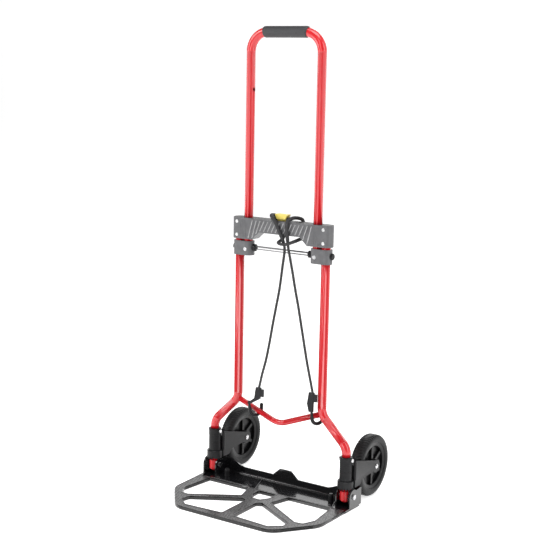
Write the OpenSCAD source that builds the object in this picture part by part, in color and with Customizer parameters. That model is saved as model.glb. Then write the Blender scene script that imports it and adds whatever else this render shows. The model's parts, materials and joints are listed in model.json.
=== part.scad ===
// Folding hand truck: telescopic tube frame, release bridge, folding toe plate and swing-in wheels.
// Millimetres, +Z up, floor at z = 0. The toe plate points to -Y, the wheels stand behind at +Y.

/* [Tubes] */
// Outer diameter of the frame and handle tubes
tube_d = 20; // [18:0.5:22]
// Wall of the frame and handle tubes
tube_wall = 1.5; // [1:0.25:3]
// Half the distance between the two lower tubes
lower_half = 112; // [100:1:140]
// Half the distance between the two wheel stubs
stub_half = 177; // [177:1:240]
// Height at which a lower tube starts to sweep outward
sweep_top_z = 216; // [205:1:260]
// Centreline radius of the bends of a lower tube
sweep_r = 35; // [25:1:45]
// Diameter of the cross brace
brace_d = 13; // [10:0.5:16]
// Slope of the two arms of the cross brace, in degrees
brace_slope = 21; // [10:1:30]
// Centreline radius at the bottom of the cross brace
brace_r = 50; // [45:5:130]

/* [Handle] */
// Gap between a handle tube and the lower tube beside it
tube_gap = 2; // [2:0.5:6]
// Height of the handle's top centreline
handle_top_z = 1024; // [900:5:1200]
// Centreline radius of the handle's corners
handle_bend_r = 42; // [30:1:60]
// Diameter of the grip
grip_d = 25; // [23:0.5:34]
// Sweep of the grip round each corner, in degrees
grip_wrap = 10; // [2:1:30]
// Distance that the handle slides down when it is folded
handle_travel = 292; // [200:2:310]

/* [Bridge] */
// Height of the top face of the bridge
bridge_top_z = 620.5; // [600:1:680]
// Height of the feet of the bridge
bridge_foot_z = 573; // [560:1:580]
// Height of the underside of the arch
arch_z = 590.5; // [584:0.5:592]
// Depth of the bridge, front to back
bridge_depth = 30; // [28:0.5:36]
// Wall of the bridge outside the lower tubes
bridge_end_wall = 5; // [3.5:0.5:8]
// Number of slanted ribs on each face of the bridge
rib_count = 14; // [0:1:18]
// Height of a slanted rib
rib_h = 0.7; // [0.3:0.1:1]

/* [Release] */
// Width of the button at its top
button_top_w = 33; // [28:1:36]
// Width of the button at its foot
button_foot_w = 22; // [18:1:24]
// Height of the button
button_h = 11; // [9:1:16]
// Distance that the button travels
button_travel = 5; // [3:0.5:5]
// Diameter of a lock pin
pin_d = 8; // [6:0.5:9]
// Height of the lock pins
pin_z = 609; // [606:0.5:611]

/* [Slider blocks] */
// Height of the underside of the slider blocks, handle out
slider_z = 536; // [534:1:542]
// Height of a slider block
slider_h = 32; // [26:1:33]
// Wall of a slider block round its tubes
slider_wall = 4; // [3:0.25:4]
// Diameter of the tie rods
rod_d = 3.6; // [2.5:0.1:4]

/* [Wheels] */
// Outer diameter of a wheel
wheel_d = 140; // [120:1:140]
// Width of a tyre
tyre_w = 30; // [22:1:30]
// Distance of the axle behind its stub
axle_y = 105; // [96:1:105]
// Diameter of an axle bolt
axle_d = 8; // [6:0.5:10]
// Number of spokes
spoke_count = 6; // [3:1:9]

/* [Forks] */
// Outer diameter of the fork's barrel
barrel_d = 28; // [26:0.5:28]
// Height of the foot of the barrel
barrel_foot_z = 46.3; // [46.3:0.1:50]
// Height of the top of the barrel
barrel_top_z = 102; // [90:1:104]
// Thickness of the two plates of a fork
plate_t = 2.8; // [2:0.2:3]

/* [Toe plate] */
// Height of the underside of the toe beam
beam_z = 4.5; // [4:0.1:5]
// Height of the toe plate's pivot
pivot_z = 29; // [29:0.5:31]
// Diameter of a pivot bolt
pivot_d = 8; // [6:0.5:10]
// Thickness of the toe plate
toe_t = 8.5; // [8:0.1:8.5]
// Half width of the toe plate at its sides
toe_half = 193; // [188:1:230]
// Length of the toe plate in front of the pivots
toe_reach = 219; // [212:1:300]
// Thickness of the toe beam's steel
beam_t = 2.5; // [2:0.25:3]
// Height of the toe beam's flange
flange_z = 23.5; // [16:0.5:26]

/* [Hidden] */
$fn = 48;
clear = 0.3;            // gap between a sliding piece and its guide, on each side
snug = 0.05;            // gap of a fixed fit, on each side
pin_gap = 0.05;         // running clearance of a hinge pin, on the radius
far = 400;              // longer than any cut needs
tube_r = tube_d / 2;
barrel_r = barrel_d / 2;
upper_half = lower_half - tube_d - tube_gap;    // half the distance between the two handle tubes
sides = [-1, 1];
run_in = 1;             // how far the straight parts of a bent tube run into its bends
corner_steps = 5;       // straight steps in a rounded corner
swell = 0.03;           // how much thicker a tube is in its bends

// Lower tube path
sweep_angle = 45;
sweep_straight = (stub_half - lower_half - 2 * sweep_r * (1 - cos(sweep_angle))) / sin(sweep_angle);
sweep_foot_z = sweep_top_z - 2 * sweep_r * sin(sweep_angle) - sweep_straight * cos(sweep_angle);
lower_top_z = bridge_top_z - 4;
plug_shoulder_z = 40;
plug_r = 12;
plug_foot_z = 15.5;

// Cross brace
brace_foot_z = 162.5;     // centreline at the lowest point
brace_r_o = brace_d / 2;

// Collars
collar_z = barrel_top_z + clear;
collar_h = 15;
collar_r = 14.3;
collar_bolt_z = collar_z + 8.5;
collar_bolt_d = 5;

// Bridge
bridge_half = lower_half + tube_r + bridge_end_wall;
shell_d = bridge_depth / 2;
rivet_zs = [bridge_foot_z + 8.8, bridge_top_z - 9.2];
rivet_d = 5;
arch_half = 53;
foot_half = 72;

// Release
button_z = bridge_top_z + 3.5;
button_depth = 16;
button_hole_half = button_foot_w / 2 + 1.3;
stem_half = 11.5;
stem_t = 6;
stem_z = pin_z - 5;
peg_x = 8;
peg_r = 1.5;
tongue_t = 3;
tongue_x = 18;
pin_tip_x = upper_half - tube_r - clear;
hollow_half = 24;
hollow_z0 = arch_z + 2;
hollow_z1 = bridge_top_z - 3;

// Sliders
slider_r = tube_r + slider_wall;
screw_z = slider_z + 14;
screw_d = 5;
rod_z = slider_z + 17.4;
rod_pitch = 5.8;
bush_r = 8;
bush_len = 6;
rod_end_x = upper_half - tube_r - 1;

// Wheels and forks
wheel_r = wheel_d / 2;
tyre_inner_r = wheel_r - 18;
hub_r = 15;
hub_half = tyre_w / 2 + 0.5;
web_t = 5;
bush_bore_r = axle_d / 2 + pin_gap;
fork_in = tyre_w / 2 + 1.5;
fork_out = fork_in + plate_t;
fork_front_y = 8;
fork_top_z = barrel_top_z + 6.5;
plate_foot_z = 48;
ring_r = 18;
ring_top_z = 64;

// Bevel gears: equal, axes crossing at the pivot's height on the stub's axis
teeth = 16;
tooth_step = 360 / teeth;
addendum = 1.2;
dedendum = 1.5;
slot_w = 3.75;
slot_slope = tan(20);
gear_in_r = 14.2;
gear_face_r = 17;
tip_shift = addendum * sqrt(2);

// Toe beam and plate
ear_in = 12.6;          // inner ear's near face from the stub's axis
ear_out = 18.6;         // outer ear's near face from the stub's axis
ear_r = 16.5;
beam_front_y = -34;
beam_back_y = 34.5;
beam_top = beam_z + beam_t;
flange_end_z = 43;
tab_top_z = 40.5;
beam_half = stub_half + ear_out + beam_t;
skin_t = 2.5;
wall_t = 3;

// Fasteners
head_h = 2.4;

// Bungee cord and its hooks
cord_r = 2.5;
wrap_r = 3.6;
hook_r = 4;
hook_half = 2.7;
hook_eye = [[-43, -17.2, 234], [97, -17.2, 246]];
hook_turn = [[-63, 182.3], [101.5, 192]];
hook_turn_r = 13.8;
hook_yaw = [36, 30];
hook_tip = [9, 1.5];

// ---------- shared shapes ----------

// A cylinder along X from x0 to x1 at (y, z)
module rod_x(r, x0, x1, y, z) translate([min(x0, x1), y, z]) rotate([0, 90, 0])
    cylinder(r = r, h = abs(x1 - x0));

// A cylinder along Y from y0 to y1 at (x, z)
module rod_y(r, y0, y1, x, z) translate([x, y1, z]) rotate([90, 0, 0]) cylinder(r = r, h = y1 - y0);

// A flat shape drawn in (y, z), made solid along X from x0 to x1
module slab_x(x0, x1) translate([min(x0, x1), 0, 0]) rotate([90, 0, 90])
    linear_extrude(abs(x1 - x0)) children();

// A flat shape drawn in (x, z), made solid along Y from y0 to y1
module slab_y(y0, y1) translate([0, y1, 0]) rotate([90, 0, 0]) linear_extrude(y1 - y0) children();

// A polygon with its corners rounded to radius r: the outline is counterclockwise and convex
function unit(v) = v / norm(v);
function corner(p, i, r) = let(n = len(p), u = unit(p[(i + n - 1) % n] - p[i]),
    v = unit(p[(i + 1) % n] - p[i]), half = acos(u * v) / 2, c = p[i] + unit(u + v) * r / sin(half),
    a0 = atan2(u[0], -u[1]))
    [for (k = [0:corner_steps]) let(a = a0 + (180 - 2 * half) * k / corner_steps) c + r * [cos(a), sin(a)]];
module rounded(p, r) polygon([for (i = [0:len(p) - 1]) each corner(p, i, r)]);

// A polygon moved inward by d along every side: the outline is counterclockwise
function shifted(p, i, d) = let(n = len(p), e = unit(p[(i + 1) % n] - p[i])) [p[i] + d * [-e[1], e[0]], e];
function inset(p, d) = [for (i = [0:len(p) - 1]) let(n = len(p), a = shifted(p, (i + n - 1) % n, d),
    b = shifted(p, i, d), k = a[1][0] * b[1][1] - a[1][1] * b[1][0], w = b[0] - a[0],
    t = (w[0] * b[1][1] - w[1] * b[1][0]) / k) a[0] + t * a[1]];

// A bend of a tube of radius r, in the XZ plane about the origin, from angle a0 to a1
module bend(bend_r, r, a0, a1) rotate([90, 0, 0]) rotate([0, 0, a0])
    rotate_extrude(angle = a1 - a0) translate([bend_r, 0]) circle(r = r + swell);

// The lower path of side s as a solid of radius r, from z_foot up to z_top
module lower_path(s, r, z_foot, z_top) {
    bend_x = lower_half + sweep_r;
    mirror([s < 0 ? 1 : 0, 0, 0]) {
        translate([lower_half, 0, sweep_top_z - run_in]) cylinder(r = r, h = z_top - sweep_top_z + run_in);
        translate([bend_x, 0, sweep_top_z]) {
            bend(sweep_r, r, 180, 180 + sweep_angle);
            rotate([0, -sweep_angle, 0]) translate([-sweep_r, 0, -sweep_straight - run_in])
                cylinder(r = r, h = sweep_straight + 2 * run_in);
        }
        translate([stub_half - sweep_r, 0, sweep_foot_z]) bend(sweep_r, r, 0, sweep_angle);
        translate([stub_half, 0, z_foot]) cylinder(r = r, h = sweep_foot_z - z_foot + run_in);
    }
}

// The handle's path as a solid of radius r, from z_foot up both sides
module handle_path(r, z_foot) {
    corner_z = handle_top_z - handle_bend_r;
    for (s = sides) {
        translate([s * upper_half, 0, z_foot]) cylinder(r = r, h = corner_z - z_foot + run_in);
        mirror([s < 0 ? 1 : 0, 0, 0]) translate([upper_half - handle_bend_r, 0, corner_z])
            bend(handle_bend_r, r, 0, 90);
    }
    rod_x(r, handle_bend_r - upper_half - run_in, upper_half - handle_bend_r + run_in, 0, handle_top_z);
}

// A hex head or nut on the X axis, its near face at x0, standing out towards d
module hex_x(across, h, x0, d, y, z) translate([x0, y, z]) rotate([0, 90 * d, 0])
    cylinder(r = across / 2 / cos(30), h = h, $fn = 6);

// ---------- lower frame ----------

module lower_tube(s) color("crimson") difference() {
    lower_path(s, tube_r, plug_shoulder_z, lower_top_z);
    lower_path(s, tube_r - tube_wall, plug_shoulder_z - 1, lower_top_z + 1);
    for (z = rivet_zs) rod_y(rivet_d / 2 + snug, -far, far, s * lower_half, z);
    rod_x(collar_bolt_d / 2 + snug, s * stub_half - tube_d, s * stub_half + tube_d, 0, collar_bolt_z);
}

module brace_solid() translate([0, 0, brace_foot_z + brace_r]) {
    arm = (lower_half + 4) / cos(brace_slope) - brace_r * tan(brace_slope);
    bend(brace_r, brace_r_o, -90 - brace_slope, brace_slope - 90);
    for (s = sides) mirror([s < 0 ? 1 : 0, 0, 0]) rotate([0, -brace_slope, 0])
        rod_x(brace_r_o, -run_in, arm, 0, -brace_r);
}

module cross_brace() color("crimson") difference() {
    brace_solid();
    for (s = sides) lower_path(s, tube_r, sweep_foot_z - 1, bridge_foot_z);
}

module end_plug(s) color("red") translate([s * stub_half, 0, 0]) difference() {
    union() {
        translate([0, 0, plug_foot_z + 4]) cylinder(r = plug_r, h = plug_shoulder_z - plug_foot_z - 4);
        translate([0, 0, plug_foot_z]) cylinder(r1 = plug_r - 4, r2 = plug_r, h = 4.01);
        translate([0, 0, plug_shoulder_z - 0.01]) cylinder(r = tube_r - tube_wall - snug, h = 22);
    }
    rod_x(pivot_d / 2 + snug, -far, far, 0, pivot_z);
}

module stop_collar(s) color([0.12, 0.12, 0.13]) translate([s * stub_half, 0, 0]) difference() {
    union() {
        translate([0, 0, collar_z]) cylinder(r = collar_r, h = collar_h - 1.5);
        translate([0, 0, collar_z + collar_h - 1.51]) cylinder(r1 = collar_r, r2 = collar_r - 1, h = 1.5);
    }
    translate([0, 0, collar_z - 1]) cylinder(r = tube_r + snug, h = collar_h + 2);
    rod_x(collar_bolt_d / 2 + snug, -far, far, 0, collar_bolt_z);
}

module collar_bolts() color("silver") for (s = sides) translate([s * stub_half, 0, 0]) {
    rod_x(collar_bolt_d / 2, -collar_r - 4, collar_r + 0.01, 0, collar_bolt_z);
    rod_x(4, collar_r, collar_r + head_h, 0, collar_bolt_z);
    hex_x(7.5, 3, -collar_r, -1, 0, collar_bolt_z);
}

module pivot_bolt(s) color("silver") translate([s * stub_half, 0, 0]) {
    in_x = -s * (ear_in + beam_t + 0.1);
    out_x = s * (ear_out + beam_t + 0.1);
    rod_x(pivot_d / 2, in_x, out_x + s * 3, 0, pivot_z);
    rod_x(6, in_x - s * head_h, in_x, 0, pivot_z);
    hex_x(11, 3, out_x, s, 0, pivot_z);
}

// ---------- bridge ----------

bridge_face = [[-bridge_half, bridge_foot_z], [-foot_half, bridge_foot_z], [-arch_half, arch_z],
    [arch_half, arch_z], [foot_half, bridge_foot_z], [bridge_half, bridge_foot_z],
    [bridge_half, bridge_top_z], [-bridge_half, bridge_top_z]];

// Outline of the bridge seen from above: a bar with rounded ends
module bridge_plan() {
    end_r = 13;
    d = shell_d - end_r;
    for (s = sides) for (t = sides) translate([s * (bridge_half - end_r), t * d]) circle(r = end_r);
    square([2 * (bridge_half - end_r), bridge_depth], center = true);
    square([2 * bridge_half, 2 * d], center = true);
}

module bridge_solid() intersection() {
    translate([0, 0, bridge_foot_z]) linear_extrude(bridge_top_z - bridge_foot_z) bridge_plan();
    slab_y(-bridge_depth, bridge_depth) polygon(bridge_face);
}

// One shell: t is -1 for the front and 1 for the back
module bridge_shell(t) difference() {
    union() {
        intersection() {
            bridge_solid();
            translate([-far, t < 0 ? -far : 0, 0]) cube([2 * far, far, 2 * far]);
        }
        rib_rows(t);
    }
    for (s = sides) {
        translate([s * upper_half, 0, 0]) cylinder(r = tube_r + clear, h = 2 * far);
        translate([s * lower_half, 0, 0]) cylinder(r = tube_r + snug, h = lower_top_z + snug);
        for (z = rivet_zs) rod_y(rivet_d / 2 + snug, -far, far, s * lower_half, z);
        rod_x(pin_d / 2 + clear, s * (hollow_half - 1), s * upper_half, 0, pin_z);
    }
    translate([-hollow_half, -7.6, hollow_z0]) cube([2 * hollow_half, 15.2, hollow_z1 - hollow_z0]);
    translate([-button_hole_half, -button_depth / 2 - 0.5, hollow_z1 - 1])
        cube([2 * button_hole_half, button_depth + 1, 2 * far]);
}

// Slanted ribs across the arch of a shell's face, leaving the middle free for the cord's wraps
module rib_rows(t) {
    run = 2 * (foot_half + 4) / max(rib_count, 1);
    if (rib_count > 0) for (i = [0:rib_count - 1]) {
        x = -foot_half - 4 + (i + 0.5) * run;
        if (abs(x) > 30) intersection() {
            translate([x, t * shell_d, (bridge_top_z + arch_z) / 2]) rotate([0, 20, 0])
                cube([2.4, 2 * rib_h, far], center = true);
            slab_y(-bridge_depth, bridge_depth) translate([-foot_half - 6, arch_z + 2])
                square([2 * foot_half + 12, bridge_top_z - arch_z - 5]);
        }
    }
}

module bridge_rivets() color("silver") for (s = sides) for (z = rivet_zs) {
    rod_y(rivet_d / 2, -shell_d - 0.01, shell_d + 0.01, s * lower_half, z);
    for (t = sides) translate([s * lower_half, t * shell_d, z]) rotate([-90 * t, 0, 0])
        cylinder(r1 = 3.8, r2 = 2.2, h = 1.4);
}

module button_guide() color([0.1, 0.1, 0.1]) slab_y(-button_depth / 2 - 1, button_depth / 2 + 1)
    for (s = sides) {
    x0 = button_hole_half + 0.5;
    lean = (button_top_w - button_foot_w) / 2 / button_h;
    polygon([for (p = [[x0, 0], [x0 + 6, 0], [x0 + 6, 1.5], [x0 + 2.6, 1.8], [x0 + 2 + 8.5 * lean, 8.5],
        [x0 + 8.5 * lean, 8.5]]) [s * p[0], bridge_top_z + p[1]]]);
}

// ---------- release ----------

module push_button() color("gold") difference() {
    union() {
        slab_y(-button_depth / 2, button_depth / 2) rounded([[-button_foot_w / 2, button_z],
            [button_foot_w / 2, button_z], [button_top_w / 2, button_z + button_h],
            [-button_top_w / 2, button_z + button_h]], 1.5);
        translate([-stem_half, -stem_t / 2, stem_z]) cube([2 * stem_half, stem_t, button_z - stem_z + 1]);
    }
    // Slots at 45 degrees: pushing the stem down draws the pegs inward
    for (s = sides) slab_y(-stem_t, stem_t) {
        top = [s * (peg_x - button_travel), pin_z + button_travel];
        foot = [s * peg_x, pin_z];
        n = (peg_r + clear) * unit([1, s]);
        polygon(s > 0 ? [foot + n, top + n, top - n, foot - n] : [foot - n, top - n, top + n, foot + n]);
        translate(top) circle(r = peg_r + clear);
        translate(foot) circle(r = peg_r + clear);
    }
}

// A coil of steel wire standing on the bridge's floor under the stem
module button_spring() color("silver") {
    turns = 4;
    step = 24;
    coil_r = 3.4;
    wire_r = 0.5;
    z0 = hollow_z0 + wire_r + 0.1;
    rise = stem_z - 0.1 - wire_r - z0;
    rings = [for (a = [0:step:360 * turns]) [for (k = [0:60:300])
        [(coil_r + wire_r * cos(k)) * cos(a), (coil_r + wire_r * cos(k)) * sin(a),
         z0 + rise * a / 360 / turns + wire_r * sin(k)]]];
    swept(rings);
}

module lock_pin(s) color("silver") {
    tongue_y = s * (stem_t / 2 + clear);
    rod_x(pin_d / 2, s * tongue_x, s * (pin_tip_x - 1.5), 0, pin_z);
    translate([s * (pin_tip_x - 1.51), 0, pin_z]) rotate([0, s * 90, 0])
        cylinder(r1 = pin_d / 2, r2 = pin_d / 2 - 1.5, h = 1.51);
    // Flat tongue beside the stem, with the peg that runs in the stem's slot
    slab_y(min(tongue_y, tongue_y + s * tongue_t), max(tongue_y, tongue_y + s * tongue_t))
        translate([s > 0 ? peg_x - 2.5 : -tongue_x - 2, pin_z - 2.6]) square([tongue_x + 4.5 - peg_x, 5.2]);
    rod_y(peg_r, s > 0 ? -stem_t / 2 : -stem_t / 2 - clear - 1, s > 0 ? stem_t / 2 + clear + 1 : stem_t / 2,
        s * peg_x, pin_z);
}

// ---------- handle ----------

module handle_tube() color("crimson") difference() {
    handle_path(tube_r, slider_z + 3);
    handle_path(tube_r - tube_wall, slider_z + 2);
    for (s = sides) {
        rod_y(screw_d / 2 + snug, -far, far, s * upper_half, screw_z);
        for (z = [pin_z, pin_z + handle_travel])
            rod_x(pin_d / 2 + clear, s * (upper_half - tube_d), s * upper_half, 0, z);
    }
}

module grip() color([0.2, 0.2, 0.21]) difference() {
    half = upper_half - handle_bend_r;
    union() {
        rod_x(grip_d / 2, -half - run_in, half + run_in, 0, handle_top_z);
        for (s = sides) mirror([s < 0 ? 1 : 0, 0, 0]) translate([half, 0, handle_top_z - handle_bend_r])
            bend(handle_bend_r, grip_d / 2, 90 - grip_wrap, 90);
    }
    handle_path(tube_r + snug, handle_top_z - 2 * handle_bend_r);
}

module slider(s) color([0.42, 0.42, 0.42]) difference() {
    translate([0, 0, slider_z]) linear_extrude(slider_h) {
        for (x = [upper_half, lower_half]) translate([s * x, 0]) circle(r = slider_r);
        translate([s * (upper_half + lower_half) / 2, 0]) square([lower_half - upper_half, 2 * slider_r],
            center = true);
    }
    translate([s * upper_half, 0, slider_z + 3]) cylinder(r = tube_r + snug, h = far);
    translate([s * lower_half, 0, 0]) cylinder(r = tube_r + clear, h = 2 * far);
    rod_y(screw_d / 2 + snug, -far, far, s * upper_half, screw_z);
    rod_y(4.3, -slider_r - 1, head_h - slider_r, s * upper_half, screw_z);
    rod_y(4.3, slider_r - head_h, slider_r + 1, s * upper_half, screw_z);
    for (k = sides) rod_x(rod_d / 2 + snug, 0, s * rod_end_x, 0, rod_z + k * rod_pitch / 2);
    rod_x(bush_r / 2 + snug, s * (upper_half - slider_r), s * rod_end_x, 0, rod_z);
    rod_x(bush_r / 2 + snug, s * (lower_half + tube_r + 1), s * (lower_half + slider_r + 1), 0, rod_z);
}

module slider_screws() color("silver") for (s = sides) {
    rod_y(screw_d / 2, head_h - slider_r, slider_r - head_h, s * upper_half, screw_z);
    rod_y(4.2, -slider_r + 0.2, head_h - slider_r, s * upper_half, screw_z);
    rod_y(4.2, slider_r - head_h, slider_r - 0.2, s * upper_half, screw_z);
}

module tie_rod(k) rod_x(rod_d / 2 * (k > 0 ? 1 : 0.8), -rod_end_x, rod_end_x, 0, rod_z + k * rod_pitch / 2);

// Round bush round both rods where they enter a slider
module rod_bushes() color([0.1, 0.1, 0.1]) for (s = sides) difference() {
    x0 = upper_half - slider_r;
    union() {
        rod_x(bush_r, s * (x0 - bush_len), s * x0, 0, rod_z);
        rod_x(bush_r / 2, s * (x0 - 1), s * rod_end_x, 0, rod_z);
    }
    for (k = sides) rod_x(rod_d / 2 + snug, 0, s * (rod_end_x + 1), 0, rod_z + k * rod_pitch / 2);
}

// Round plug in the outer side of each slider: the right one stands out as a knob
module slider_caps() color([0.1, 0.1, 0.1]) for (s = sides) {
    x0 = lower_half + slider_r;
    rod_x(bush_r / 2, s * (x0 - 2.5), s * (x0 + 0.5), 0, rod_z);
    rod_x(bush_r - 0.8, s * x0, s * (x0 + (s > 0 ? 3.5 : 0.6)), 0, rod_z);
    if (s > 0) rod_x(bush_r - 2, x0 + 3.4, x0 + 4.6, 0, rod_z);
}

// ---------- toe plate ----------

// An ear seen from the side: round in front, straight back to the flange
module ear_face(top) {
    translate([0, pivot_z]) circle(r = ear_r);
    polygon([[-ear_r, beam_z], [beam_back_y, beam_z], [beam_back_y, top], [beam_back_y - 8, top],
        [ear_r * sin(40), pivot_z + ear_r * cos(40)], [0, pivot_z], [-ear_r, pivot_z]]);
}

module toe_beam() color([0.08, 0.08, 0.09]) difference() {
    union() {
        translate([-beam_half, beam_front_y, beam_z])
            cube([2 * beam_half, beam_back_y - beam_front_y, beam_t]);
        slab_y(beam_back_y - beam_t, beam_back_y) polygon([[-beam_half, beam_z], [beam_half, beam_z],
            [beam_half, flange_end_z], [beam_half - 38, flange_end_z], [beam_half - 72, flange_z + 4],
            [beam_half - 84, flange_z], [34, flange_z], [15, tab_top_z], [-15, tab_top_z], [-34, flange_z],
            [84 - beam_half, flange_z], [72 - beam_half, flange_z + 4], [38 - beam_half, flange_end_z],
            [-beam_half, flange_end_z]]);
        // Raised rib in the foot of the flange
        rod_x(3, 40 - beam_half, beam_half - 40, beam_back_y - beam_t - 1, beam_top);
        for (s = sides) for (x = [-ear_in - beam_t, ear_out])
            slab_x(s * stub_half + s * x, s * stub_half + s * (x + beam_t)) ear_face(flange_end_z);
    }
    rod_x(pivot_d / 2 + pin_gap, -far, far, 0, pivot_z);
    for (x = screw_xs) translate([x, screw_y, 0]) cylinder(r = 2.1, h = 2 * toe_t);
    // Flat underside
    translate([-far, -far, beam_z - 20]) cube([2 * far, 2 * far, 20]);
}

screw_xs = [-150, -60, 60, 150];
screw_y = -21;

toe_outline = [[-beam_half + 1, beam_back_y - 6], [-toe_half, -132], [-124, -toe_reach], [124, -toe_reach],
    [toe_half, -132], [beam_half - 1, beam_back_y - 6]];
// Openings right of the middle, counterclockwise; the left ones are their mirror image
rear_hole = [[39, -87], [142, -151], [160, -148], [173, -120], [163, -33.6], [55, -33.6]];
front_hole = [[14, -197], [108, -203], [134, -182], [130, -160], [25, -100], [14, -107]];
middle_hole = [[-24, -40], [-22, -68], [-9, -86], [9, -86], [22, -68], [24, -40]];

module toe_holes(grow) for (s = sides) mirror([s < 0 ? 1 : 0, 0, 0]) {
    rounded(inset(rear_hole, -grow), 5);
    rounded(inset(front_hole, -grow), 4);
    if (s > 0) rounded(inset(middle_hole, -grow), 4);
}

// Hollow of the underside between the outer wall, the walls round the openings and the cross ribs
module toe_hollow() difference() {
    rounded(inset(toe_outline, wall_t), 9);
    toe_holes(wall_t);
    for (x = [-160:40:160]) translate([x - 1.2, -far]) square([2.4, 2 * far]);
    for (x = screw_xs) translate([x, screw_y]) circle(r = 6);
}

module toe_plate() color([0.35, 0.35, 0.36]) difference() {
    linear_extrude(toe_t) difference() {
        rounded(toe_outline, 12);
        toe_holes(0);
    }
    // Bed of the toe beam
    translate([-far, beam_front_y - 0.05, beam_z - snug]) cube([2 * far, far, far]);
    translate([0, 0, -1]) linear_extrude(beam_z - skin_t + 1) toe_hollow();
    translate([0, 0, -1]) linear_extrude(toe_t - skin_t + 1) difference() {
        toe_hollow();
        translate([-far, beam_front_y - 4]) square(2 * far);
    }
    for (x = screw_xs) translate([x, screw_y, -1]) cylinder(r = 1.8, h = 2 * toe_t);
}

module toe_plate_screws() color("silver") for (x = screw_xs) translate([x, screw_y, 0]) {
    translate([0, 0, 1]) cylinder(r = 1.75, h = beam_top);
    translate([0, 0, beam_top]) cylinder(r1 = 3.6, r2 = 2.4, h = 1.6);
}

module beam_posts() color([0.1, 0.1, 0.1]) for (s = sides) translate([s * (stub_half - 36), 0, beam_top]) {
    cylinder(r = 6, h = 14);
    translate([0, 0, 13.99]) cylinder(r1 = 6, r2 = 4, h = 4);
}

// ---------- bevel gears ----------

// A tooth gap: a straight groove along the pitch cone, which opens at 45 degrees from the gear's axis
module tooth_gap() rotate([0, 45, 0]) linear_extrude(40) polygon([
    [-dedendum, -slot_w / 2 + dedendum * slot_slope],
    [addendum + 2, -slot_w / 2 - (addendum + 2) * slot_slope],
    [addendum + 2, slot_w / 2 + (addendum + 2) * slot_slope],
    [-dedendum, slot_w / 2 - dedendum * slot_slope]]);

// Gear on the toe plate's outer ear, axis along X, a tooth on top
module toe_gear(s) color([0.16, 0.16, 0.17]) translate([s * stub_half, 0, pivot_z]) rotate([0, s * 90, 0])
    difference() {
        rotate_extrude() polygon([[pivot_d / 2 + clear, plug_r + 0.5], [gear_in_r, plug_r + 0.5],
            [gear_face_r, gear_face_r - tip_shift], [ring_r, ring_r - tip_shift], [ring_r, ear_out],
            [pivot_d / 2 + clear, ear_out]]);
        for (k = [0:teeth - 1]) rotate([0, 0, (k + 0.5) * tooth_step]) tooth_gap();
    }

// Ring on the fork's foot, with a toothed sector below that faces the mesh through the whole swing
module fork_gear(s) color([0.16, 0.16, 0.17]) translate([s * stub_half, 0, 0]) mirror([s < 0 ? 1 : 0, 0, 0])
    difference() {
        union() {
            translate([0, 0, barrel_foot_z]) cylinder(r = ring_r, h = ring_top_z - barrel_foot_z - 1);
            translate([0, 0, ring_top_z - 1.01]) cylinder(r1 = ring_r, r2 = ring_r - 1, h = 1);
            rotate([0, 0, -112]) rotate_extrude(angle = 134) polygon([
                [gear_in_r, pivot_z + gear_in_r - tip_shift],
                [gear_face_r, pivot_z + gear_face_r - tip_shift],
                [ring_r - 0.2, pivot_z + ring_r - tip_shift],
                [ring_r - 0.2, barrel_foot_z + 2], [gear_in_r, barrel_foot_z + 2]]);
        }
        translate([0, 0, barrel_foot_z + 1.5]) cylinder(r = barrel_r + snug, h = far);
        cylinder(r = tube_r + clear + 0.5, h = far);
        for (k = [-5:1]) translate([0, 0, pivot_z]) rotate([0, 0, k * tooth_step]) tooth_gap();
    }

// ---------- forks and wheels ----------

// A fork's plate seen from the side: full height at the barrel, narrow at the axle
module plate_face() difference() {
    union() {
        polygon([[fork_front_y, plate_foot_z], [32, plate_foot_z], [42, 58.5], [axle_y - 18, wheel_r - 8.5],
            [axle_y, wheel_r - 10], [axle_y, wheel_r + 13.5], [fork_front_y + 3, fork_top_z],
            [fork_front_y, fork_top_z - 2]]);
        translate([axle_y, wheel_r]) circle(r = 15);
    }
    translate([axle_y, wheel_r]) circle(r = axle_d / 2 + snug);
}

module fork(s) color([0.13, 0.13, 0.14]) translate([s * stub_half, 0, 0]) difference() {
    column_z = ring_top_z + 0.5;
    union() {
        translate([0, 0, barrel_foot_z + 1.6]) cylinder(r = barrel_r, h = barrel_top_z - barrel_foot_z - 1.6);
        for (t = sides) {
            slab_x(t * fork_in, t * fork_out) plate_face();
            // Rolled front edge, above the gear's ring
            translate([t * (fork_in + 0.4), fork_front_y + 3, column_z])
                cylinder(r = 3.5, h = fork_top_z - 3 - column_z);
        }
        translate([-fork_in - 0.5, fork_front_y + 0.6, column_z + 1.5])
            cube([2 * fork_in + 1, 17, barrel_top_z - column_z - 5.5]);
    }
    translate([0, 0, barrel_foot_z]) cylinder(r = tube_r + clear, h = far);
    // Seam round the barrel
    translate([0, 0, 84.5]) difference() {
        cylinder(r = barrel_r + 1, h = 1);
        translate([0, 0, -1]) cylinder(r = barrel_r - 0.7, h = 3);
        translate([-far, 5, -1]) cube([2 * far, far, 3]);
    }
}

module axle_bolt(s) color("silver") translate([s * stub_half, 0, 0]) {
    rod_x(axle_d / 2, -fork_out - 2.2, fork_out + 0.01, axle_y, wheel_r);
    rod_x(5.5, fork_out, fork_out + 1.2, axle_y, wheel_r);
    translate([fork_out + 1.19, axle_y, wheel_r]) rotate([0, 90, 0])
        cylinder(r1 = 5.5, r2 = 3.6, h = head_h - 1.2);
}

module axle_nut(s) color("silver") translate([s * stub_half, axle_y, wheel_r]) difference() {
    hex_x(11, 2.3, -fork_out, -1, 0, 0);
    rod_x(axle_d / 2 + snug, -far, far, 0, 0);
}

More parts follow.
